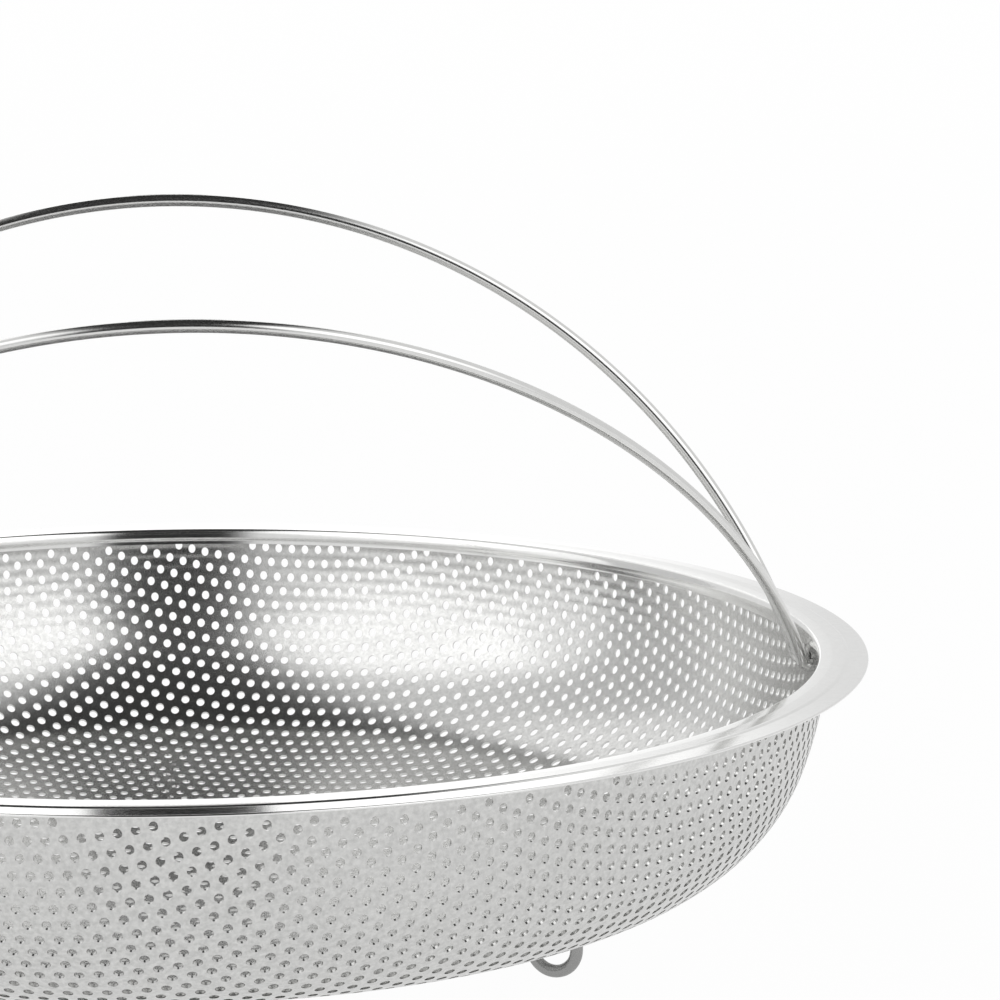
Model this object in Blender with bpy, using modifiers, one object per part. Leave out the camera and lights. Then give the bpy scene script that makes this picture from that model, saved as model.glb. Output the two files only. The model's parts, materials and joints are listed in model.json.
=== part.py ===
"""Steamer basket: perforated bowl pressed from sheet, rim ring, two folding wire handles, three wire feet.

Metres, +Z up. The basket stands on its feet at z = 0 with the bowl's axis on the Z axis.
The handles turn about two lines parallel to X, close under the rim.
"""
import math

import bmesh
import bpy
from mathutils import Matrix, Vector
from mathutils.geometry import delaunay_2d_cdt

# Rim ring, a pressed sheet
rim_diameter = 0.220
ring_sheet = 0.0004
land_width = 0.0027
rise_width = 0.0038
rise_height = 0.00072
ridge_width = 0.0011
ridge_height = 0.0009
lip_depth = 0.0026
ridge_corner = 0.00025

# Bowl, pressed from a flat perforated blank
bowl_sheet = 0.0004
wall_slope_deg = 4.2
wall_radius = 0.067
wall_arc_deg = 14.7
corner_radius = 0.0293
crown_radius = 0.366
bottom_clearance = 0.00296

# Perforation of the blank, a triangular lattice of six-sided holes
hole_pitch = 0.0128
lattice_turn_deg = -15.0
hole_corner_radius = 0.0036
hole_room_share = 1.4
plain_edge = 0.0030
plain_round_pivot = 0.0085

# Wire handles
wire_diameter = 0.0020
handle_reach = 0.0766
arch_centre_drop = 0.0356
pivot_depth = 0.0054
pivot_spacing = 0.0048
pivot_hole_diameter = 0.0026
pin_bend_radius = 0.0016
head_diameter = 0.0036
head_thickness = 0.0009
head_flare = 0.0002
front_lean_deg = 35.1
rear_lean_deg = 12.9

# Wire feet
foot_count = 3
first_foot_deg = -30.0
foot_inset = 0.0130
foot_wire_diameter = 0.0020
foot_loop_radius = 0.0038
foot_toe_length = 0.0030
foot_toe_bend_radius = 0.0020

# Fits between pieces
seat_gap = 0.0003
head_gap = 0.0006
handle_wall_gap = 0.0008
cut_overrun = 0.004

# Smoothness of round forms, as counts
rim_segments = 92
arch_points = 22
bend_points = 5
wire_bevel_steps = 2
pin_hole_sides = 12

rim_radius = rim_diameter / 2
wire_radius = wire_diameter / 2
foot_wire_radius = foot_wire_diameter / 2
crease_radius = rim_radius - land_width - rise_width
hole_room = hole_corner_radius * hole_room_share


def new_collection(name):
    collection = bpy.data.collections.new(name)
    bpy.context.scene.collection.children.link(collection)
    return collection


def clear_scene():
    for old in list(bpy.data.objects):
        bpy.data.objects.remove(old, do_unlink=True)


def steel(name, colour, roughness):
    material = bpy.data.materials.new(name)
    material.use_nodes = True
    shader = material.node_tree.nodes["Principled BSDF"]
    shader.inputs["Base Color"].default_value = (*colour, 1.0)
    shader.inputs["Metallic"].default_value = 1.0
    shader.inputs["Roughness"].default_value = roughness
    return material


def add_mesh(name, mesh, material, collection):
    part = bpy.data.objects.new(name, mesh)
    mesh.materials.append(material)
    collection.objects.link(part)
    return part


def shade_round(mesh, sharp_deg=35.0):
    mesh.shade_smooth()
    mesh.set_sharp_from_angle(angle=math.radians(sharp_deg))


def arc(centre, radius, start_deg, end_deg, count):
    """Points on an arc in the X-Z plane, angles measured from +X towards +Z."""
    points = []
    for step in range(count):
        angle = math.radians(start_deg + (end_deg - start_deg) * step / (count - 1))
        points.append((centre[0] + radius * math.cos(angle), centre[1] + radius * math.sin(angle)))
    return points


class BowlProfile:
    """Outer side of the bowl: a gently curved wall, a round corner and a crowned bottom, all tangent.

    Angles are the slope's turn away from straight down. Lengths along the profile start at the centre.
    The form is laid out from the rim's edge down, then lifted so that the bottom clears the floor.
    """

    def __init__(self):
        self.wall_top_angle = math.radians(wall_slope_deg)
        self.wall_end_angle = math.radians(wall_slope_deg + wall_arc_deg)
        top_radius = crease_radius + seat_gap
        wall_centre = Vector((top_radius - wall_radius * math.cos(self.wall_top_angle),
                              wall_radius * math.sin(self.wall_top_angle)))
        inset = wall_radius - corner_radius
        corner_centre = wall_centre + inset * Vector((math.cos(self.wall_end_angle),
                                                      -math.sin(self.wall_end_angle)))
        self.corner_end_angle = math.acos(corner_centre.x / (crown_radius - corner_radius))
        rise = (crown_radius - corner_radius) * math.sin(self.corner_end_angle)
        crown_centre = Vector((0.0, corner_centre.y + rise))
        self.rim_edge_height = bottom_clearance + crown_radius - crown_centre.y
        lift = Vector((0.0, self.rim_edge_height))
        self.wall_centre = wall_centre + lift
        self.corner_centre = corner_centre + lift
        self.crown_centre = crown_centre + lift
        self.crown_length = crown_radius * (math.pi / 2 - self.corner_end_angle)
        self.corner_length = corner_radius * (self.corner_end_angle - self.wall_end_angle)

    def angle_at(self, length):
        if length <= self.crown_length:
            return math.pi / 2 - length / crown_radius
        if length <= self.crown_length + self.corner_length:
            return self.corner_end_angle - (length - self.crown_length) / corner_radius
        return self.wall_end_angle - (length - self.crown_length - self.corner_length) / wall_radius

    def point_at(self, length):
        angle = self.angle_at(length)
        if length <= self.crown_length:
            centre, radius = self.crown_centre, crown_radius
        elif length <= self.crown_length + self.corner_length:
            centre, radius = self.corner_centre, corner_radius
        else:
            centre, radius = self.wall_centre, wall_radius
        return centre[0] + radius * math.cos(angle), centre[1] - radius * math.sin(angle)

    def length_at_height(self, height):
        """Length along the wall's curved top part at a height."""
        angle = math.asin((self.wall_centre[1] - height) / wall_radius)
        return self.crown_length + self.corner_length + wall_radius * (self.wall_end_angle - angle)

    def radius_at_height(self, height):
        return self.point_at(self.length_at_height(height))[0]

    def height_at_radius(self, radius):
        """Height of the outer side in the crowned bottom."""
        return self.crown_centre[1] - math.sqrt(crown_radius ** 2 - radius ** 2)


profile = BowlProfile()
rim_edge_height = profile.rim_edge_height
crease_height = rim_edge_height - rise_height
pivot_height = rim_edge_height - pivot_depth
foot_circle_radius = profile.point_at(profile.crown_length)[0] - foot_inset
ring_underside = crease_height - ring_sheet
bowl_top = ring_underside - seat_gap
lip_bottom = rim_edge_height - lip_depth
pivot_wall_radius = profile.radius_at_height(pivot_height)
handle_half_span = pivot_wall_radius - bowl_sheet - handle_wall_gap - wire_radius


def lattice_points(radius):
    """Points of a triangular lattice round the origin, out to a radius."""
    turn = Matrix.Rotation(math.radians(lattice_turn_deg), 2)
    row_step = hole_pitch * math.sqrt(3) / 2
    rows = int(radius / row_step) + 1
    columns = int(radius / hole_pitch) + 2
    points = []
    for row in range(-rows, rows + 1):
        shift = hole_pitch / 2 if row % 2 else 0.0
        for column in range(-columns, columns + 1):
            point = turn @ Vector((column * hole_pitch + shift, row * row_step))
            if point.length < radius:
                points.append(point)
    return points


def circle_points(radius):
    turns = [2 * math.pi * step / rim_segments for step in range(rim_segments)]
    return [Vector((radius * math.cos(turn), radius * math.sin(turn))) for turn in turns]


def carries_a_pin(point, pivot_length):
    """True where the blank stays plain round the handles' pin holes."""
    return (Vector((abs(point.x), point.y)) - Vector((pivot_length, 0.0))).length < plain_round_pivot


def flat_blank():
    """The round sheet with its holes, flat, before it is pressed."""
    edge_length = profile.length_at_height(bowl_top)
    band_length = edge_length - plain_edge
    pivot_length = profile.length_at_height(pivot_height)
    edge = circle_points(edge_length)
    band = circle_points(band_length)
    hole_reach = band_length - hole_room
    inner = lattice_points(hole_reach)
    corners = [(step, (step + 1) % rim_segments) for step in range(rim_segments)]
    verts, _, faces, *_ = delaunay_2d_cdt(edge + band + inner, corners, [], 0, ring_sheet / 100)
    blank = bmesh.new()
    made = [blank.verts.new((vert.x, vert.y, 0.0)) for vert in verts]
    for face in faces:
        blank.faces.new([made[index] for index in face])
    centres = [vert for vert in blank.verts
               if has_room(vert, hole_reach) and not carries_a_pin(vert.co, pivot_length)]
    open_holes(blank, centres)
    return blank


def has_room(vert, hole_reach):
    """True at a point of the lattice with sheet enough all round for a hole."""
    shortest = min(edge.calc_length() for edge in vert.link_edges)
    return vert.co.length < hole_reach and shortest > hole_room


def open_holes(blank, centres):
    """Each centre opens into a face with a corner on every edge that meets there. The face is deleted."""
    opened = bmesh.ops.bevel(blank, geom=centres, offset=hole_corner_radius, offset_type="OFFSET",
                             affect="VERTICES", segments=1, profile=0.5, clamp_overlap=False)
    bmesh.ops.delete(blank, geom=opened["faces"], context="FACES_ONLY")
    loose = [edge for edge in blank.edges if not edge.link_faces]
    bmesh.ops.delete(blank, geom=loose, context="EDGES")


def press_into_bowl(blank):
    """Each point keeps its bearing and its distance along the sheet from the centre."""
    for vert in blank.verts:
        length = vert.co.length
        radius, height = profile.point_at(length)
        scale = radius / length if length else 0.0
        vert.co = Vector((vert.co.x * scale, vert.co.y * scale, height))


def build_bowl(collection, cutters):
    blank = flat_blank()
    press_into_bowl(blank)
    bmesh.ops.triangulate(blank, faces=blank.faces)
    bmesh.ops.recalc_face_normals(blank, faces=blank.faces)
    mesh = bpy.data.meshes.new("perforated_bowl")
    blank.to_mesh(mesh)
    blank.free()
    bowl = add_mesh("perforated_bowl", mesh, steel("satin_sheet_steel", (0.80, 0.80, 0.79), 0.34), collection)
    sheet = bowl.modifiers.new("sheet", "SOLIDIFY")
    sheet.thickness = bowl_sheet
    sheet.offset = -1.0
    for side in (-1, 1):
        cut = bowl.modifiers.new("pin_hole", "BOOLEAN")
        cut.object = pin_hole_cutter(side, cutters)
    shade_round(mesh)


def pin_hole_cutter(side, cutters):
    """A drill along X that opens one handle's two pin holes."""
    bpy.ops.mesh.primitive_cylinder_add(vertices=pin_hole_sides, radius=pivot_hole_diameter / 2,
                                        depth=rim_diameter + cut_overrun)
    drill = bpy.context.object
    drill.name = "pin_drill_front" if side < 0 else "pin_drill_rear"
    drill.rotation_euler = (0.0, math.pi / 2, 0.0)
    drill.location = (0.0, side * pivot_spacing / 2, pivot_height)
    drill.hide_render = True
    drill.display_type = "WIRE"
    for owner in list(drill.users_collection):
        owner.objects.unlink(drill)
    cutters.objects.link(drill)
    return drill


def lip_outer_radius(height):
    return profile.radius_at_height(height) - bowl_sheet - seat_gap


def ring_section():
    """Section of the rim ring: flat land, rise, crease and ridge, then the lip inside the bowl."""
    rim_top = rim_edge_height
    crest_height = crease_height + ridge_height
    lip_top_radius = lip_outer_radius(bowl_top) - ring_sheet
    lip_low_radius = lip_outer_radius(lip_bottom)
    crest_radius = crease_radius - ridge_width / 2
    return [
        (crest_radius, crest_height),
        (crease_radius - ridge_corner, crease_height + ridge_corner),
        (crease_radius + ridge_corner, crease_height),
        (rim_radius - land_width, rim_top),
        (rim_radius, rim_top),
        (rim_radius, rim_top - ring_sheet),
        (rim_radius - land_width, rim_top - ring_sheet),
        (crease_radius + ridge_corner, ring_underside),
        (lip_outer_radius(ring_underside), ring_underside),
        (lip_low_radius, lip_bottom),
        (lip_low_radius - ring_sheet, lip_bottom),
        (lip_top_radius, crest_height - ridge_width / 2),
        (lip_top_radius + ridge_corner, crest_height - ridge_corner / 2),
    ]


def build_ring(collection):
    mesh = bpy.data.meshes.new("rim_ring")
    section = ring_section()
    points = [(radius, 0.0, height) for radius, height in section]
    links = [(index, (index + 1) % len(points)) for index in range(len(points))]
    mesh.from_pydata(points, links, [])
    ring = add_mesh("rim_ring", mesh, steel("polished_rim_steel", (0.86, 0.86, 0.85), 0.16), collection)
    turn = ring.modifiers.new("turn", "SCREW")
    turn.steps = rim_segments
    turn.render_steps = rim_segments
    turn.use_merge_vertices = True
    turn.merge_threshold = ring_sheet / 100


def arch_half_width(height):
    """Half width of the handle's arch at a height above its pivots: an ellipse whose centre lies lower."""
    tall = handle_reach + arch_centre_drop
    wide = handle_half_span / math.sqrt(1 - (arch_centre_drop / tall) ** 2)
    return wide * math.sqrt(max(0.0, 1 - ((height + arch_centre_drop) / tall) ** 2))


def handle_half_path():
    """Right half of the wire, from head to top: points in X and Z with the wire's radius as a share."""
    head_start = pivot_wall_radius + head_gap
    head_end = head_start + head_flare + head_thickness
    head_share = head_diameter / wire_diameter
    bend_centre = (arch_half_width(pin_bend_radius) + pin_bend_radius, pin_bend_radius)
    path = [((head_end, 0.0), head_share),
            ((head_start + head_flare, 0.0), head_share),
            ((head_start, 0.0), 1.0)]
    for point in arc(bend_centre, pin_bend_radius, 270.0, 180.0, bend_points):
        path.append((point, 1.0))
    tall = handle_reach + arch_centre_drop
    arch_start_height = pin_bend_radius + wire_diameter
    start_turn = math.asin((arch_start_height + arch_centre_drop) / tall)
    for step in range(arch_points):
        turn = start_turn + (math.pi / 2 - start_turn) * step / (arch_points - 1)
        height = tall * math.sin(turn) - arch_centre_drop
        path.append(((arch_half_width(height), height), 1.0))
    return path


def bent_wire(name, path, radius, material, collection):
    """A wire through points in its own X-Z plane, each with the wire's radius there as a share."""
    wire = bpy.data.curves.new(name, "CURVE")
    wire.dimensions = "3D"
    wire.bevel_depth = radius
    wire.bevel_resolution = wire_bevel_steps
    wire.render_resolution_u = 0
    wire.use_fill_caps = True
    spline = wire.splines.new("POLY")
    spline.points.add(len(path) - 1)
    for target, (point, share) in zip(spline.points, path):
        target.co = (point[0], 0.0, point[1], 1.0)
        target.radius = share
    wire.materials.append(material)
    piece = bpy.data.objects.new(name, wire)
    collection.objects.link(piece)
    return piece


def build_handle(name, side, lean_deg, collection, material):
    """A handle turns about X through its own origin and is leant over from upright."""
    half = handle_half_path()
    path = half + [((-point[0], point[1]), share) for point, share in reversed(half[:-1])]
    handle = bent_wire(name, path, wire_radius, material, collection)
    handle.location = (0.0, side * pivot_spacing / 2, pivot_height)
    handle.rotation_euler = (-side * math.radians(lean_deg), 0.0, 0.0)


def foot_path():
    """The foot's wire in its own upright plane, outwards to the right: outer leg, loop, inner leg."""
    outer = foot_leg(1)
    loop_centre = (0.0, foot_wire_radius + foot_loop_radius)
    loop = arc(loop_centre, foot_loop_radius, 0.0, -180.0, 2 * bend_points - 1)
    inner = foot_leg(-1)
    return [(point, 1.0) for point in outer + loop + inner[::-1]]


def foot_leg(sign):
    """A toe along the bowl's underside and its bend into the outer (1) or inner (-1) leg."""
    turn_radius = foot_circle_radius + sign * (foot_loop_radius + foot_toe_bend_radius)
    toe_end_radius = turn_radius + sign * foot_toe_length
    below = (foot_wire_radius + seat_gap) / math.cos(math.asin(turn_radius / crown_radius))
    turn_height = profile.height_at_radius(turn_radius) - below
    bend = arc((turn_radius, turn_height - foot_toe_bend_radius), foot_toe_bend_radius,
               90.0, 90.0 + sign * 90.0, bend_points - 1)
    leg = [(toe_end_radius, profile.height_at_radius(toe_end_radius) - below)] + bend
    return [(radius - foot_circle_radius, height) for radius, height in leg]


def build_foot(number, collection, material):
    bearing = math.radians(first_foot_deg + 360.0 / foot_count * number)
    foot = bent_wire(f"foot_{number + 1}", foot_path(), foot_wire_radius, material, collection)
    foot.location = (foot_circle_radius * math.cos(bearing), foot_circle_radius * math.sin(bearing), 0.0)
    foot.rotation_euler = (0.0, 0.0, bearing)


def build_basket():
    clear_scene()
    parts = new_collection("steamer_basket")
    cutters = new_collection("cutters")
    cutters.hide_render = True
    build_bowl(parts, cutters)
    build_ring(parts)
    wire_steel = steel("polished_wire_steel", (0.78, 0.78, 0.77), 0.14)
    build_handle("front_handle", -1, front_lean_deg, parts, wire_steel)
    build_handle("rear_handle", 1, rear_lean_deg, parts, wire_steel)
    for number in range(foot_count):
        build_foot(number, parts, wire_steel)


build_basket()
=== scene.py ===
"""Steamer basket, dressed: the finely perforated bowl, the rolled rim, the wire handles and the wire feet.

Metres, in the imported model's own frame: +Z up, the basket stands at z = 0, the front handle leans to -Y.
"""

import json
import math

import bpy
import numpy as np
from mathutils import Matrix, Vector
from mathutils.geometry import delaunay_2d_cdt


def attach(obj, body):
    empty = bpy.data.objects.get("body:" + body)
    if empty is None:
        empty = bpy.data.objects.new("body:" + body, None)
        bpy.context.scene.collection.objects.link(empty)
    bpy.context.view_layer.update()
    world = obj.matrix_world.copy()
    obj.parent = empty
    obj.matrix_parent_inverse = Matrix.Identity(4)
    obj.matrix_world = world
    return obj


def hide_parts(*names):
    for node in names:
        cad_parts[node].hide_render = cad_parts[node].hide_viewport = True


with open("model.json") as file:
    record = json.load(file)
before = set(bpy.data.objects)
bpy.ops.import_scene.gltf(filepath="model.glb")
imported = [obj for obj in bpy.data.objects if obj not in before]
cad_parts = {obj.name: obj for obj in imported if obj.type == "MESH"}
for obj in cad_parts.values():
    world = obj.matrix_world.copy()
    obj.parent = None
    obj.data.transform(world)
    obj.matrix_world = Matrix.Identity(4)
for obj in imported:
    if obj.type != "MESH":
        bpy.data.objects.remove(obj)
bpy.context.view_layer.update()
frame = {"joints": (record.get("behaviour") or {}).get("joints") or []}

# Rim ring. The flange's width and rise set where the bowl's wall ends under it
rim_radius = 0.110
rim_height = 0.0475
ring_sheet = 0.0004
flange_width = 0.0065
flange_rise = 0.00072
lip_radius = 0.1018
lip_draw = 0.0001
lip_depth = 0.0026
roll_half_width = 0.0007
roll_height = 0.0020
inner_slope = math.radians(3.0)
land_start_radius = 0.1043
land_end_radius = 0.1063
land_rise = 0.0001
step_slope = math.radians(32.0)
step_round = 0.0010
crease_round = 0.0004
band_slope = math.radians(3.5)
edge_round = 0.0002
roll_points = 19
step_points = 9
crease_points = 7
edge_round_points = 9
flat_ends = (0.03, 0.97)
ring_segments = 480

# Bowl, the sheet's outer side
bowl_sheet = 0.0004
seat_gap = 0.0003
wall_slope = math.radians(4.2)
wall_arc = math.radians(14.7)
wall_radius = 0.067
corner_radius = 0.0293
crown_radius = 0.366
profile_points = 4000

# Perforation, on the flat blank. The plain margin is in radii of a cell of the lattice
hole_pitch = 0.00275
hole_radius = 0.00073
hole_sides = 12
lattice_turn = math.radians(-14.6)
lattice_shift = (0.00025, 0.0009)
corner_stretch = 0.0058
stretch_start = 0.068
stretch_end = 0.104
wall_stretch_share = 0.1
edge_points = 480
plain_margin = 1.03
pin_hole_sides = 24
pin_hole_share = 0.98
same_point = hole_pitch / 1000
same_line = hole_pitch / 10000
least_radius = hole_radius / 100

# Handles
wire_radius = 0.0010
handle_reach = 0.07657
arch_centre_drop = 0.0356
arch_foot_height = 2.2
arch_points = 90
handle_half_span = 0.1010
handle_sides = 20
pivot_spacing = 0.0048
pivot_height = frame["joints"][0]["pos_m"][2]
pin_hole_radius = 0.0013
pin_bend_radius = 0.0016
pin_bend_points = 12
front_lean = math.radians(35.1)
rear_lean = math.radians(12.9)

# Heads of the handles' wires. Each outline point: distance from the head's end, in rounds, and share of its radius
head_radius = 0.0018
head_thickness = 0.0009
head_gap = 0.0006
head_round = head_radius * 0.25
head_outer_outline = ((0.0, 0.55), (0.1, 0.75), (0.5, 0.93), (1.0, 1.0))
head_inner_outline = ((0.3, 1.0), (0.0, 0.9))
head_neck = 0.3

# Feet
foot_circle_radius = 0.0654
foot_loop_radius = 0.0038
foot_loop_points = 25
foot_toe_length = 0.0030
foot_toe_bend_radius = 0.0020
toe_bend_points = 9
foot_sides = 16
first_foot_turn = math.radians(-30.0)
foot_count = 3

# Edges sharper than this stay sharp in the shading
sheet_sharp_deg = 35
rim_sharp_deg = 50
wire_sharp_deg = 60

# Grain and clouds of every steel
noise_range = (0.3, 0.7)
grain_detail = 6.0
grain_depth = 0.00002
cloud_size = 3
cloud_detail = 4.0

# Rings left by the press on the upper wall, 1.9 mm apart
ripple_scale = 165.0
ripple_low = 0.024
ripple_full = 0.034
ripple_depth = 0.00004

# Camera, at the photograph's viewing angle
camera_distance = 0.6518
camera_elevation = math.radians(11.88)
camera_turn = math.radians(1.48)
aim_right = math.radians(4.62)
aim_up = math.radians(1.99)
lens_mm = 145.9
sensor_mm = 36.0

# Floor
floor_half = 6.0
floor_tone = 0.9
floor_shown_white = 0.97
floor_mirrored_white = 0.7

# Dark arch over the camera's line: its half widths at the stops along it, as shares of its radius
arch_radius = 1.5
arch_start_deg = 0.0
arch_end_deg = 140.0
arch_steps = 40
arch_stops = (0.0, 0.15, 0.3, 0.5, 0.75, 1.0)
arch_left_shares = (0.34, 0.32, 0.29, 0.35, 0.34, 0.24)
arch_right_shares = (0.31, 0.29, 0.23, 0.37, 0.42, 0.36)
arch_core_share = 0.55
arch_tone = 0.05

# Grey wall on the left, between two azimuths counted from the camera to the right
side_card_radius = 1.4
side_card_start_deg = -95.0
side_card_end_deg = -125.0
side_card_low = 0.0
side_card_high = 1.6
side_card_steps = 12
side_card_tone = 0.9

# Narrow dark flag behind the set
flag_distance = 1.0
flag_left = -0.018
flag_right = 0.067
flag_low = 0.335
flag_high = 0.65
flag_tone = 0.02

# White room. Soft boxes: azimuth from the camera to the right, elevation, core and reach in degrees, gain
room_tone = 0.8
soft_boxes = ((-50.0, 34.0, 12.0, 33.0, 0.66),
              (36.0, 36.0, 11.0, 31.0, 0.7),
              (-82.0, 20.0, 5.0, 24.0, 0.3),
              (-148.0, 38.0, 6.0, 26.0, 0.3),
              (181.0, 27.0, 9.0, 18.0, 0.55),
              (180.0, 5.0, 5.0, 13.0, 0.4))

wall_top_radius = rim_radius - flange_width + seat_gap
bowl_top = rim_height - flange_rise - ring_sheet


class BowlProfile:
    """Outer side of the bowl as a curve from the centre of the bottom to the rim, by length along it."""

    def __init__(self):
        self.wall_end = wall_slope + wall_arc
        self.wall_centre = np.array([wall_top_radius - wall_radius * math.cos(wall_slope),
                                     rim_height + wall_radius * math.sin(wall_slope)])
        toward_corner = np.array([math.cos(self.wall_end), -math.sin(self.wall_end)])
        self.corner_centre = self.wall_centre + (wall_radius - corner_radius) * toward_corner
        self.corner_end = math.acos(self.corner_centre[0] / (crown_radius - corner_radius))
        rise = (crown_radius - corner_radius) * math.sin(self.corner_end)
        self.crown_centre = np.array([0.0, self.corner_centre[1] + rise])
        self.crown_length = crown_radius * (math.pi / 2 - self.corner_end)
        self.corner_length = corner_radius * (self.corner_end - self.wall_end)

    def at(self, length, inset):
        """Radius and height at lengths along the profile, moved in from the outer side by the inset."""
        on_crown = length <= self.crown_length
        on_corner = ~on_crown & (length <= self.crown_length + self.corner_length)
        past_crown = length - self.crown_length

        def by_part(crown, corner, wall):
            return np.where(on_crown, crown, np.where(on_corner, corner, wall))

        angle = by_part(math.pi / 2 - length / crown_radius,
                        self.corner_end - past_crown / corner_radius,
                        self.wall_end - (past_crown - self.corner_length) / wall_radius)
        centre_r = by_part(0.0, self.corner_centre[0], self.wall_centre[0])
        centre_z = by_part(self.crown_centre[1], self.corner_centre[1], self.wall_centre[1])
        radius = by_part(crown_radius, corner_radius, wall_radius) - inset
        return centre_r + radius * np.cos(angle), centre_z - radius * np.sin(angle)

    def length_at_height(self, height):
        angle = math.asin((self.wall_centre[1] - height) / wall_radius)
        return self.crown_length + self.corner_length + wall_radius * (self.wall_end - angle)

    def radius_at_height(self, height):
        return float(self.at(np.array(self.length_at_height(height)), 0.0)[0])


profile = BowlProfile()


def blank_radius(length):
    """How far from the blank's centre the sheet at a length along the pressed bowl once lay."""
    share = np.clip((length - stretch_start) / (stretch_end - stretch_start), 0.0, 1.0)
    smooth = share * share * (3 - 2 * share)
    return length - corner_stretch * smooth - wall_stretch_share * np.maximum(0.0, length - stretch_end)


lengths = np.linspace(0.0, profile.length_at_height(bowl_top), profile_points)
blank_radii = blank_radius(lengths)
blank_edge = float(blank_radii[-1])
pin_blank_radius = float(blank_radius(profile.length_at_height(pivot_height)))


def lattice_centres(reach):
    rows = int(reach / (hole_pitch * math.sqrt(3) / 2)) + 2
    columns = int(reach / hole_pitch) + 2
    row, column = np.mgrid[-rows:rows + 1, -columns - rows:columns + rows + 1]
    x = (column + 0.5 * row).ravel() * hole_pitch
    y = row.ravel() * hole_pitch * math.sqrt(3) / 2
    c, s = math.cos(lattice_turn), math.sin(lattice_turn)
    points = np.stack([c * x - s * y + lattice_shift[0], s * x + c * y + lattice_shift[1]], 1)
    return points[np.hypot(points[:, 0], points[:, 1]) < reach + 2 * hole_pitch]


def pin_centres():
    return np.array([[side * pin_blank_radius, row * pivot_spacing / 2] for side in (-1, 1) for row in (-1, 1)])


def ring_points(centre, radius, count):
    angles = np.arange(count) * 2 * math.pi / count
    return np.stack([centre[0] + radius * np.cos(angles), centre[1] + radius * np.sin(angles)], 1)


def has_hole(centres, pins):
    """True at the lattice's points that are clear of the blank's edge and of the pin holes."""
    distance = np.hypot(centres[:, 0], centres[:, 1])
    to_pin = np.hypot(centres[:, None, 0] - pins[None, :, 0], centres[:, None, 1] - pins[None, :, 1]).min(1)
    reach = hole_pitch * plain_margin / math.sqrt(3)
    return (distance < blank_edge - reach) & (to_pin > pin_hole_radius + reach)


def perforated_cells(opened):
    """Rings of quads, each from a hole to the six-sided border of its cell.

    Returns the points, the quads, the holes' loops and the edges on the outside of the whole field of cells.
    """
    angles = lattice_turn + np.arange(hole_sides) * 2 * math.pi / hole_sides
    border_radii = np.where(np.arange(hole_sides) % 2 == 0, hole_pitch / 2, hole_pitch / math.sqrt(3))
    rays = np.stack([np.cos(angles), np.sin(angles)], 1)
    borders = opened[:, None, :] + rays[None] * border_radii[None, :, None]
    keys, border_index = np.unique(np.round(borders.reshape(-1, 2) / same_point).astype(np.int64),
                                   axis=0, return_inverse=True)
    border_index = border_index.reshape(len(opened), hole_sides)
    border_points = np.zeros((len(keys), 2))
    border_points[border_index.ravel()] = borders.reshape(-1, 2)
    holes = (opened[:, None, :] + rays[None] * hole_radius).reshape(-1, 2)
    hole_index = len(border_points) + np.arange(len(holes)).reshape(len(opened), hole_sides)
    following = np.roll(np.arange(hole_sides), -1)
    quads = np.stack([hole_index, border_index, border_index[:, following], hole_index[:, following]], 2)

    # An edge on the outside is one that only one cell has
    sides = np.stack([border_index, border_index[:, following]], 2).reshape(-1, 2)
    _, first, count = np.unique(np.sort(sides, axis=1), axis=0, return_index=True, return_counts=True)
    outline = sides[first[count == 1]]
    return np.concatenate([border_points, holes]), quads.reshape(-1, 4).tolist(), hole_index.tolist(), outline


def on_plain_sheet(places, centres, is_open, pins):
    """True at places inside the blank's edge that are in no open cell and in no pin hole."""
    nearest = np.argmin(((places[:, None, :] - centres[None]) ** 2).sum(2), 1)
    plain = ~is_open[nearest] & (np.hypot(places[:, 0], places[:, 1]) < blank_edge)
    for pin in pins:
        plain &= np.hypot(places[:, 0] - pin[0], places[:, 1] - pin[1]) > pin_hole_radius * pin_hole_share
    return plain


def fill_plain_sheet(points, outline, circles, is_plain):
    """Triangles between the cells' outline and the circles, where the function says that the sheet is plain.

    Returns all points, the triangles and each circle as a loop.
    """
    used, outline_index = np.unique(outline, return_inverse=True)
    flat = [Vector(point) for point in points[used]]
    edges = [tuple(pair) for pair in outline_index.reshape(-1, 2).tolist()]
    circle_loops = []
    for circle in circles:
        start = len(flat)
        flat += [Vector(point) for point in circle]
        circle_loops.append(range(start, len(flat)))
        edges += [(start + step, start + (step + 1) % len(circle)) for step in range(len(circle))]
    verts, _, faces, origins, *_ = delaunay_2d_cdt(flat, edges, [], 0, same_line)
    places = np.array([[vert.x, vert.y] for vert in verts])
    keep = is_plain(np.array([places[list(face)].mean(0) for face in faces]))
    new_index = []
    extra = []
    for place, (source, *_) in zip(places, origins):
        if source < len(used):
            new_index.append(int(used[source]))
        else:
            new_index.append(len(points) + len(extra))
            extra.append(place)
    by_source = {source: index for (source, *_), index in zip(origins, new_index)}
    fill = [[new_index[corner] for corner in face] for face, kept in zip(faces, keep) if kept]
    loops = [[by_source[item] for item in loop] for loop in circle_loops]
    return np.concatenate([points, np.array(extra)]), fill, loops


def flat_blank():
    """The perforated sheet before pressing: points, faces, the loops of its holes and the loop of its edge."""
    centres = lattice_centres(blank_edge)
    pins = pin_centres()
    is_open = has_hole(centres, pins)
    points, quads, hole_loops, outline = perforated_cells(centres[is_open])
    circles = [ring_points((0.0, 0.0), blank_edge, edge_points)]
    circles += [ring_points(pin, pin_hole_radius, pin_hole_sides) for pin in pins]
    points, fill, (edge_loop, *pin_loops) = fill_plain_sheet(
        points, outline, circles, lambda places: on_plain_sheet(places, centres, is_open, pins))
    return points, quads + fill, hole_loops + pin_loops, edge_loop


def add_object(name, data):
    made = bpy.data.objects.new(name, data)
    bpy.context.scene.collection.objects.link(made)
    return made


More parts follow.
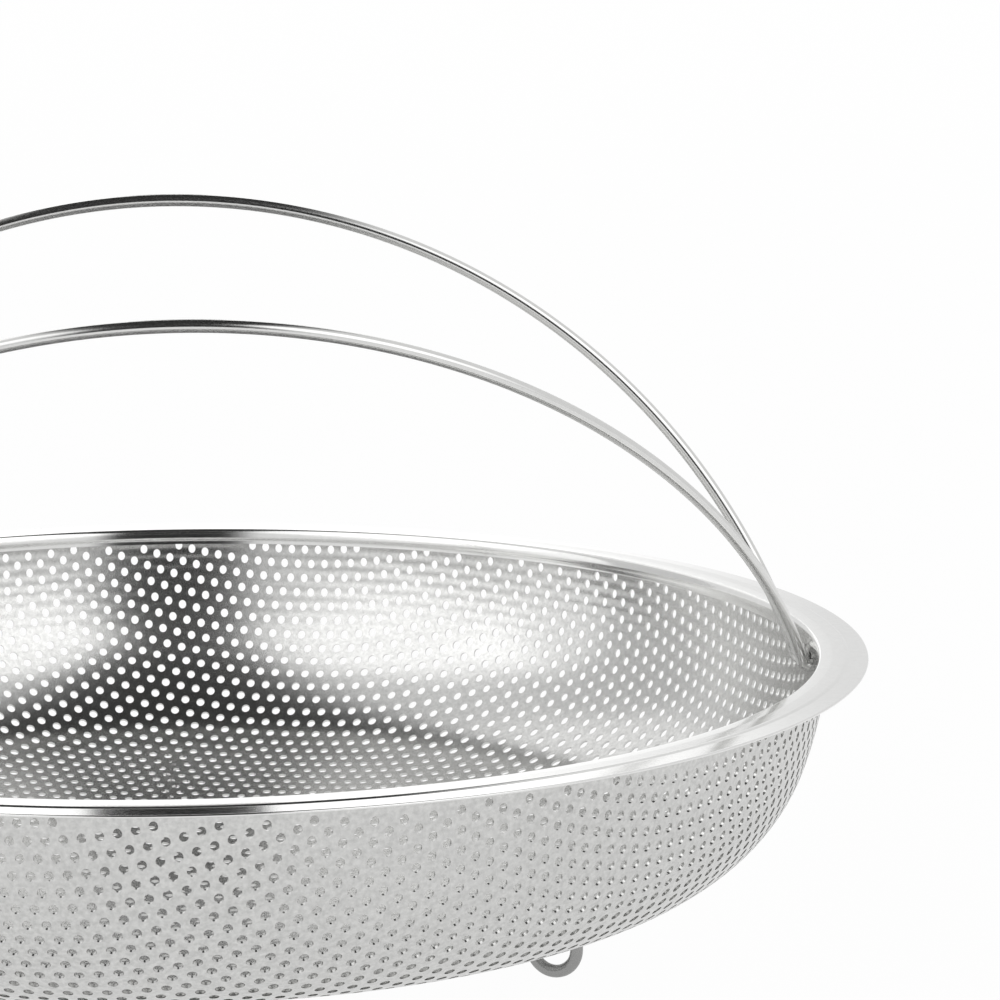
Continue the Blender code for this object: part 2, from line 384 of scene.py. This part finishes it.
def make_mesh(name, verts, faces):
    mesh = bpy.data.meshes.new(name)
    mesh.from_pydata(verts, [], faces)
    mesh.update()
    return mesh


def add_piece(name, mesh, material, body, replaced):
    piece = add_object(name, mesh)
    mesh.materials.append(material)
    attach(piece, body)
    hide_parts(replaced)
    return piece


def shade(mesh, sharp_deg):
    mesh.shade_smooth()
    mesh.set_sharp_from_angle(angle=math.radians(sharp_deg))


def next_in(loop):
    """Each item of a closed loop with the one after it."""
    return zip(loop, loop[1:] + loop[:1])


def build_bowl(material):
    """The blank pressed into the bowl: each point keeps its bearing and its distance along the sheet."""
    points, faces, loops, edge_loop = flat_blank()
    flat_radius = np.hypot(points[:, 0], points[:, 1])
    length = np.interp(flat_radius, blank_radii, lengths)
    bearing = points / np.maximum(flat_radius, least_radius)[:, None]
    sides = []
    for inset in (0.0, bowl_sheet):
        radius, height = profile.at(length, inset)
        sides.append(np.column_stack([bearing * radius[:, None], height]))
    verts = np.concatenate(sides)
    count = len(points)
    outer = [face[::-1] for face in faces]
    inner = [[corner + count for corner in face] for face in faces]
    walls = [[b, a, a + count, b + count] for loop in loops for a, b in next_in(loop)]
    walls += [[a, b, b + count, a + count] for a, b in next_in(edge_loop)]
    mesh = make_mesh("steel_bowl", verts.tolist(), outer + inner + walls)
    shade(mesh, sheet_sharp_deg)
    add_piece("steel_bowl", mesh, material, "basket", "perforated_bowl")


def arc(centre, radius, start_deg, end_deg, count):
    angles = np.radians(np.linspace(start_deg, end_deg, count))
    return [(centre[0] + radius * math.cos(a), centre[1] + radius * math.sin(a)) for a in angles]


def straight(start, end):
    """Two points on a straight line, close to its ends, so that the shading stays flat between them."""
    return [tuple(np.array(start) + share * (np.array(end) - np.array(start))) for share in flat_ends]


def ring_section():
    """Section of the rim, one sheet thick: lip, rolled inner edge, flat land, small step and outer band."""
    land_height = rim_height + land_rise
    roll_top = lip_radius + roll_half_width
    roll_top_height = land_height - (land_start_radius - roll_top) * math.tan(inner_slope)
    top = [(lip_radius - lip_draw, rim_height - lip_depth)]
    top += [(roll_top + roll_half_width * math.sin(t), roll_top_height - roll_height * (1 - math.cos(t)))
            for t in np.radians(np.linspace(-90, 0, roll_points))]
    top += straight(top[-1], (land_start_radius, land_height))
    top += straight((land_start_radius, land_height), (land_end_radius, land_height))
    step_deg, band_deg = math.degrees(step_slope), math.degrees(band_slope)
    top += arc((land_end_radius, land_height - step_round), step_round, 90, 90 - step_deg, step_points)
    centre = (top[-1][0] + crease_round * math.sin(step_slope),
              top[-1][1] + crease_round * math.cos(step_slope))
    top += arc(centre, crease_round, -90 - step_deg, -90 - band_deg, crease_points)[1:]
    start = np.array(top[-1])
    run = rim_radius - edge_round * (1 - math.sin(band_slope)) - start[0]
    for share in (*flat_ends, 1.0):
        top.append(tuple(start + run * share * np.array([1.0, -math.tan(band_slope)])))
    curve = np.array(top)
    along = np.gradient(curve, axis=0)
    along /= np.linalg.norm(along, axis=1)[:, None]
    under = curve + ring_sheet * np.stack([along[:, 1], -along[:, 0]], 1)
    tip = np.array(top[-1]) - edge_round * np.array([math.sin(band_slope), math.cos(band_slope)])
    edge = arc(tip, edge_round, 90 - band_deg, -90 - band_deg, edge_round_points)[1:-1]
    return top + edge + [tuple(point) for point in under[::-1]]


def revolve(name, section, segments):
    """A closed section of radius and height, turned about the Z axis."""
    angles = np.arange(segments) * 2 * math.pi / segments
    section = np.array(section)
    verts = np.stack([np.outer(np.cos(angles), section[:, 0]), np.outer(np.sin(angles), section[:, 0]),
                      np.tile(section[:, 1], (segments, 1))], 2).reshape(-1, 3)
    count = len(section)
    faces = []
    for turn in range(segments):
        here, after = turn * count, (turn + 1) % segments * count
        for step, following in next_in(list(range(count))):
            faces.append([here + step, here + following, after + following, after + step])
    return make_mesh(name, verts.tolist(), faces)


def build_ring(material):
    mesh = revolve("steel_rim", ring_section(), ring_segments)
    shade(mesh, rim_sharp_deg)
    add_piece("steel_rim", mesh, material, "basket", "rim_ring")


def tube(name, path, radii, sides):
    """A closed round bar through points in the X-Z plane, with its own radius at each of them."""
    path = np.array(path, float)
    tangents = np.gradient(path, axis=0)
    tangents /= np.linalg.norm(tangents, axis=1)[:, None]
    across = np.array([0.0, 1.0, 0.0])
    verts = []
    for point, tangent, radius in zip(path, tangents, radii):
        up = np.cross(tangent, across)
        up /= np.linalg.norm(up)
        side = np.cross(up, tangent)
        for step in range(sides):
            angle = 2 * math.pi * step / sides
            verts.append(point + radius * (math.cos(angle) * side + math.sin(angle) * up))
    faces = []
    for ring in range(len(path) - 1):
        for step in range(sides):
            following = (step + 1) % sides
            a, b = ring * sides + step, ring * sides + following
            faces.append([a, b, b + sides, a + sides])
    last = (len(path) - 1) * sides
    faces.append(list(range(sides))[::-1])
    faces.append(list(range(last, last + sides)))
    return make_mesh(name, [tuple(vert) for vert in verts], faces)


def arch_half_width(height):
    tall = handle_reach + arch_centre_drop
    wide = handle_half_span / math.sqrt(1 - (arch_centre_drop / tall) ** 2)
    return wide * math.sqrt(max(0.0, 1 - ((height + arch_centre_drop) / tall) ** 2))


def handle_path():
    """The wire from one head over the arch to the other, in its own plane, with its radius at each point."""
    head_start = profile.radius_at_height(pivot_height) + head_gap
    head_end = head_start + head_thickness
    path = [(head_end - head_round * back, 0.0) for back, _ in head_outer_outline]
    path += [(head_start + head_round * out, 0.0) for out, _ in head_inner_outline]
    path.append((head_start - head_round * head_neck, 0.0))
    radii = [head_radius * share for _, share in head_outer_outline + head_inner_outline]
    bend_centre = (arch_half_width(pin_bend_radius) + pin_bend_radius, pin_bend_radius)
    path += arc(bend_centre, pin_bend_radius, 270, 180, pin_bend_points)
    tall = handle_reach + arch_centre_drop
    start = math.asin((arch_foot_height * pin_bend_radius + arch_centre_drop) / tall)
    for turn in np.linspace(start, math.pi / 2, arch_points):
        height = tall * math.sin(turn) - arch_centre_drop
        path.append((arch_half_width(height), height))
    radii += [wire_radius] * (len(path) - len(radii))
    path += [(-x, z) for x, z in path[-2::-1]]
    radii += radii[-2::-1]
    return [(x, 0.0, z) for x, z in path], radii


def build_handle(name, side, lean, body, replaced, material):
    path, radii = handle_path()
    mesh = tube(name, path, radii, handle_sides)
    place = Matrix.Translation((0.0, side * pivot_spacing / 2, pivot_height))
    mesh.transform(place @ Matrix.Rotation(-side * lean, 4, "X"))
    shade(mesh, wire_sharp_deg)
    add_piece(name, mesh, material, body, replaced)


def crown_height(radius):
    return profile.crown_centre[1] - math.sqrt(crown_radius ** 2 - radius ** 2)


def foot_leg(sign):
    """Half of a foot above its loop, from the toe under the bowl down to the loop's side."""
    turn_radius = foot_circle_radius + sign * (foot_loop_radius + foot_toe_bend_radius)
    toe_end = turn_radius + sign * foot_toe_length
    below = wire_radius / math.cos(math.asin(turn_radius / crown_radius))
    bend_centre = (turn_radius, crown_height(turn_radius) - below - foot_toe_bend_radius)
    bend = arc(bend_centre, foot_toe_bend_radius, 90, 90 + sign * 90, toe_bend_points)
    leg = [(toe_end, crown_height(toe_end) - below)] + bend
    return [(radius - foot_circle_radius, height) for radius, height in leg]


def build_foot(number, material):
    name = f"foot_wire_{number + 1}"
    loop = arc((0.0, wire_radius + foot_loop_radius), foot_loop_radius, 0, -180, foot_loop_points)
    path = [(x, 0.0, z) for x, z in foot_leg(1) + loop + foot_leg(-1)[::-1]]
    mesh = tube(name, path, [wire_radius] * len(path), foot_sides)
    bearing = first_foot_turn + 2 * math.pi / foot_count * number
    mesh.transform(Matrix.Rotation(bearing, 4, "Z") @ Matrix.Translation((foot_circle_radius, 0.0, 0.0)))
    shade(mesh, wire_sharp_deg)
    add_piece(name, mesh, material, "basket", f"foot_{number + 1}")


def node(tree, kind, place, **values):
    made = tree.nodes.new(kind)
    made.location = place
    for key, value in values.items():
        setattr(made, key, value)
    return made


def remap(tree, place, value, start, end, kind="LINEAR"):
    """A node's value carried from one range, start, to another, end."""
    made = node(tree, "ShaderNodeMapRange", place, interpolation_type=kind)
    for key, number in zip(("From Min", "From Max", "To Min", "To Max"), (*start, *end)):
        made.inputs[key].default_value = number
    tree.links.new(value, made.inputs["Value"])
    return made.outputs["Result"]


def combine(tree, place, operation, *values):
    """Two values put together by a math node. Each is a number or another node's output."""
    made = node(tree, "ShaderNodeMath", place, operation=operation)
    for socket, value in zip(made.inputs, values):
        if isinstance(value, float):
            socket.default_value = value
        else:
            tree.links.new(value, socket)
    return made.outputs["Value"]


def coordinate(tree, place, vector, axis):
    made = node(tree, "ShaderNodeSeparateXYZ", place)
    tree.links.new(vector, made.inputs["Vector"])
    return made.outputs[axis]


def noise(tree, place, vector, scale, detail):
    made = node(tree, "ShaderNodeTexNoise", place)
    made.inputs["Scale"].default_value = scale
    made.inputs["Detail"].default_value = detail
    tree.links.new(vector, made.inputs["Vector"])
    return made.outputs["Fac"]


def relief(tree, place, height, strength, depth):
    made = node(tree, "ShaderNodeBump", place)
    made.inputs["Strength"].default_value = strength
    made.inputs["Distance"].default_value = depth
    tree.links.new(height, made.inputs["Height"])
    return made


def steel(name, colour, roughness, spread, grain, bump, mottle=0.02, ripple=0.0):
    """Stainless steel: fine grain in its roughness and height, faint cloudiness in its tone."""
    material = bpy.data.materials.new(name)
    material.use_nodes = True
    tree = material.node_tree
    shader = tree.nodes["Principled BSDF"]
    shader.inputs["Metallic"].default_value = 1.0
    place = node(tree, "ShaderNodeTexCoord", (-1200, 0)).outputs["Object"]
    fine = noise(tree, (-900, 0), place, grain, grain_detail)
    rough = remap(tree, (-600, 0), fine, noise_range, (roughness - spread, roughness + spread))
    tree.links.new(rough, shader.inputs["Roughness"])
    cloud = noise(tree, (-900, -300), place, grain / cloud_size, cloud_detail)
    tone = node(tree, "ShaderNodeMix", (-500, -300), data_type="RGBA")
    tone.inputs["A"].default_value = (*[c * (1 - mottle) for c in colour], 1.0)
    tone.inputs["B"].default_value = (*[c * (1 + mottle) for c in colour], 1.0)
    tree.links.new(remap(tree, (-700, -300), cloud, noise_range, (0.0, 1.0)), tone.inputs["Factor"])
    tree.links.new(tone.outputs["Result"], shader.inputs["Base Color"])
    surface = relief(tree, (-600, -600), fine, bump, grain_depth)
    tree.links.new(surface.outputs["Normal"], shader.inputs["Normal"])
    if ripple:
        add_ripple(tree, place, surface, ripple)
    return material


def add_ripple(tree, place, before, strength):
    """Faint rings round the upper wall, left by the press, as a bump ahead of another bump node."""
    rings = node(tree, "ShaderNodeTexWave", (-900, -900), bands_direction="Z")
    rings.inputs["Scale"].default_value = ripple_scale
    tree.links.new(place, rings.inputs["Vector"])
    height = coordinate(tree, (-900, -1200), place, "Z")
    upper = remap(tree, (-700, -1200), height, (ripple_low, ripple_full), (0.0, 1.0), "SMOOTHSTEP")
    faded = combine(tree, (-500, -900), "MULTIPLY", rings.outputs["Fac"], upper)
    waves = relief(tree, (-300, -900), faded, strength, ripple_depth)
    tree.links.new(waves.outputs["Normal"], before.inputs["Normal"])


def matt(name, tone):
    material = bpy.data.materials.new(name)
    material.use_nodes = True
    shader = material.node_tree.nodes["Principled BSDF"]
    shader.inputs["Base Color"].default_value = (tone, tone, tone, 1.0)
    shader.inputs["Roughness"].default_value = 1.0
    shader.inputs["Specular IOR Level"].default_value = 0.0
    return material


def build_camera():
    data = bpy.data.cameras.new("camera")
    data.lens = lens_mm
    data.sensor_width = sensor_mm
    camera = add_object("camera", data)
    offset = Vector((0.0, -camera_distance * math.cos(camera_elevation),
                     camera_distance * math.sin(camera_elevation)))
    place = Matrix.Rotation(-camera_turn, 4, "Z") @ offset + Vector((0.0, 0.0, rim_height))
    turn = Matrix.Rotation(-camera_turn - aim_right, 4, "Z")
    tilt = Matrix.Rotation(math.pi / 2 - camera_elevation + aim_up, 4, "X")
    camera.matrix_world = Matrix.Translation(place) @ turn @ tilt
    bpy.context.scene.camera = camera


def build_world():
    """White room, in which each soft box is a brighter patch."""
    world = bpy.data.worlds.new("white_room")
    world.use_nodes = True
    tree = world.node_tree
    background = tree.nodes["Background"]
    background.inputs["Color"].default_value = (1.0, 1.0, 1.0, 1.0)
    view = node(tree, "ShaderNodeTexCoord", (-1500, 0)).outputs["Generated"]
    total = room_tone
    for number, (azimuth_deg, elevation_deg, core_deg, reach_deg, gain) in enumerate(soft_boxes):
        azimuth, elevation = math.radians(azimuth_deg), math.radians(elevation_deg)
        row = -300 * number
        toward = node(tree, "ShaderNodeVectorMath", (-1200, row), operation="DOT_PRODUCT")
        toward.inputs[1].default_value = (math.sin(azimuth) * math.cos(elevation),
                                          -math.cos(azimuth) * math.cos(elevation), math.sin(elevation))
        tree.links.new(view, toward.inputs[0])
        borders = (math.cos(math.radians(reach_deg)), math.cos(math.radians(core_deg)))
        patch = remap(tree, (-900, row), toward.outputs["Value"], borders, (0.0, gain), "SMOOTHSTEP")
        total = combine(tree, (-600, row), "ADD", total, patch)
    tree.links.new(total, background.inputs["Strength"])
    bpy.context.scene.world = world


def build_floor():
    """White floor. The camera sees most of it as plain white, so the basket's shade stays faint."""
    corners = [(x * floor_half, y * floor_half, 0.0) for x, y in ((-1, -1), (1, -1), (1, 1), (-1, 1))]
    mesh = make_mesh("floor", corners, [(0, 1, 2, 3)])
    floor = add_object("floor", mesh)
    material = matt("white_floor", floor_tone)
    tree = material.node_tree
    path = node(tree, "ShaderNodeLightPath", (-900, 300)).outputs
    either = combine(tree, (-700, 0), "MAXIMUM", path["Is Glossy Ray"], path["Is Transmission Ray"])
    mirrored = combine(tree, (-500, 0), "MULTIPLY", either, floor_mirrored_white)
    shown = combine(tree, (-500, 300), "MULTIPLY", path["Is Camera Ray"], floor_shown_white)
    glow = node(tree, "ShaderNodeEmission", (-300, -300))
    blend = node(tree, "ShaderNodeMixShader", (300, 0))
    tree.links.new(combine(tree, (-300, 300), "MAXIMUM", shown, mirrored), blend.inputs["Fac"])
    tree.links.new(tree.nodes["Principled BSDF"].outputs["BSDF"], blend.inputs[1])
    tree.links.new(glow.outputs["Emission"], blend.inputs[2])
    tree.links.new(blend.outputs["Shader"], tree.nodes["Material Output"].inputs["Surface"])
    mesh.materials.append(material)


def stage_mesh(name, rows, material):
    """A sheet through rows of points, seen in reflections and as shade but not by the camera."""
    wide = len(rows[0])
    faces = []
    for row in range(len(rows) - 1):
        for step in range(wide - 1):
            a = row * wide + step
            faces.append([a, a + 1, a + wide + 1, a + wide])
    mesh = make_mesh(name, [point for row in rows for point in row], faces)
    mesh.materials.append(material)
    piece = add_object(name, mesh)
    piece.visible_camera = False
    return mesh


def soften_sides(material):
    """Make a card solid in its middle and clear at its sides, by how far across a point's UV lies."""
    tree = material.node_tree
    across = coordinate(tree, (-700, 0), node(tree, "ShaderNodeUVMap", (-900, 0)).outputs["UV"], "X")
    opacity = remap(tree, (-400, 0), across, (arch_core_share, 1.0), (1.0, 0.0), "SMOOTHSTEP")
    tree.links.new(opacity, tree.nodes["Principled BSDF"].inputs["Alpha"])


def build_arch():
    """A dark arch over the set in the camera's plane, with soft sides."""
    rows = []
    across = []
    for step in range(arch_steps + 1):
        share = step / arch_steps
        angle = math.radians(arch_start_deg + (arch_end_deg - arch_start_deg) * share)
        left = np.interp(share, arch_stops, arch_left_shares) * arch_radius
        right = np.interp(share, arch_stops, arch_right_shares) * arch_radius
        y = -arch_radius * math.cos(angle)
        z = arch_radius * math.sin(angle) + rim_height / 2
        rows.append([(x, y, z) for x in (-left, -left / 2, 0.0, right / 2, right)])
        across += [1.0, 0.5, 0.0, 0.5, 1.0]
    material = matt("arch_black", arch_tone)
    soften_sides(material)
    mesh = stage_mesh("dark_arch", rows, material)
    layer = mesh.uv_layers.new(name="across")
    for loop in mesh.loops:
        layer.data[loop.index].uv = (across[loop.vertex_index], 0.0)


def build_side_card():
    """A curved grey wall beside the set."""
    rows = []
    for height in (side_card_low, side_card_high):
        row = []
        for step in range(side_card_steps + 1):
            turned = (side_card_end_deg - side_card_start_deg) * step / side_card_steps
            azimuth = math.radians(side_card_start_deg + turned)
            row.append((side_card_radius * math.sin(azimuth), -side_card_radius * math.cos(azimuth), height))
        rows.append(row)
    stage_mesh("grey_side_card", rows, matt("grey_side_card", side_card_tone))


def build_back_flag():
    """A narrow dark flag behind the set, mirrored in the front of the rim's flat."""
    rows = [[(x, flag_distance, z) for x in (flag_left, flag_right)] for z in (flag_low, flag_high)]
    stage_mesh("dark_flag", rows, matt("flag_black", flag_tone))


def build_scene():
    bpy.context.scene.view_settings.view_transform = "Standard"
    build_camera()
    build_world()
    build_floor()
    build_arch()
    build_side_card()
    build_back_flag()
    sheet = steel("sheet_steel", (0.66, 0.66, 0.65), roughness=0.20, spread=0.04, grain=4000, bump=0.35,
                  mottle=0.11, ripple=0.7)
    rim = steel("rim_steel", (0.84, 0.84, 0.83), roughness=0.10, spread=0.02, grain=3000, bump=0.02)
    wire = steel("wire_steel", (0.76, 0.76, 0.75), roughness=0.14, spread=0.03, grain=3000, bump=0.1)
    # The feet use the wires' steel painted much darker: painted shade, for the shade under the bowl's bottom
    foot = steel("foot_steel_painted_shade", (0.36, 0.36, 0.355), roughness=0.26, spread=0.04, grain=3000, bump=0.2)
    build_bowl(sheet)
    build_ring(rim)
    build_handle("front_wire_handle", -1, front_lean, "front_handle_body", "front_handle", wire)
    build_handle("rear_wire_handle", 1, rear_lean, "rear_handle_body", "rear_handle", wire)
    for number in range(foot_count):
        build_foot(number, foot)


build_scene()
